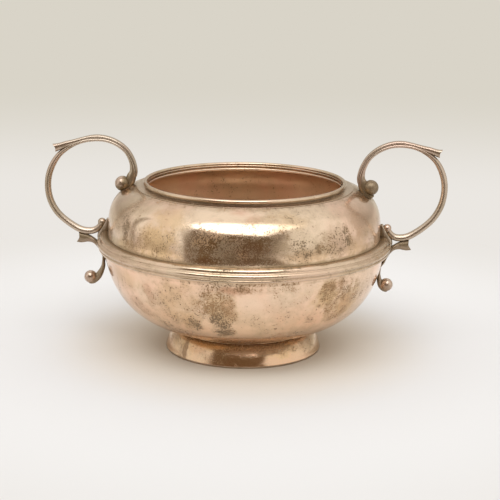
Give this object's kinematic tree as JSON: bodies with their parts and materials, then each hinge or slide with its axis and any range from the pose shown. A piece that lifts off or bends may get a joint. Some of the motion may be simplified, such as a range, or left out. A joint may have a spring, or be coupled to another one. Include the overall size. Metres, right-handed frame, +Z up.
{
  "type": "two-handled bowl",
  "caption": "Round footed silver bowl with a reeded girdle, a short wire-rimmed neck and two upright scroll handles with ball ends.",
  "frame": {"origin": "on the table, under the middle of the foot", "axes": "+X along the two handles, +Y away from the viewer, +Z up through the mouth"},
  "size_m": [0.1728, 0.127, 0.0919],
  "materials": {
    "bowl_silver": "old tarnished silver, warm grey-tan with brown and copper-pink clouds, soft polish",
    "trim_silver": "rubbed silver mouldings, brighter on the ridges and brown in the grooves",
    "handle_silver": "worn silver castings, grey-tan with dark hollows"
  },
  "bodies": {
    "root": {"lower_bowl": "bowl_silver", "upper_shoulder": "bowl_silver", "spread_foot": "bowl_silver", "neck_collar": "trim_silver", "rim_wire": "trim_silver", "girdle_band": "trim_silver", "foot_neck_wire": "trim_silver", "foot_base_wire": "trim_silver", "left_handle_loop": "handle_silver", "left_thumb_leaf": "handle_silver", "left_upper_ball": "handle_silver", "left_curl_ball": "handle_silver", "left_shoulder_strap": "handle_silver", "left_lower_scroll": "handle_silver", "left_tail_ball": "handle_silver", "right_handle_loop": "handle_silver", "right_thumb_leaf": "handle_silver", "right_upper_ball": "handle_silver", "right_curl_ball": "handle_silver", "right_shoulder_strap": "handle_silver", "right_lower_scroll": "handle_silver", "right_tail_ball": "handle_silver"}
  },
  "joints": []
}
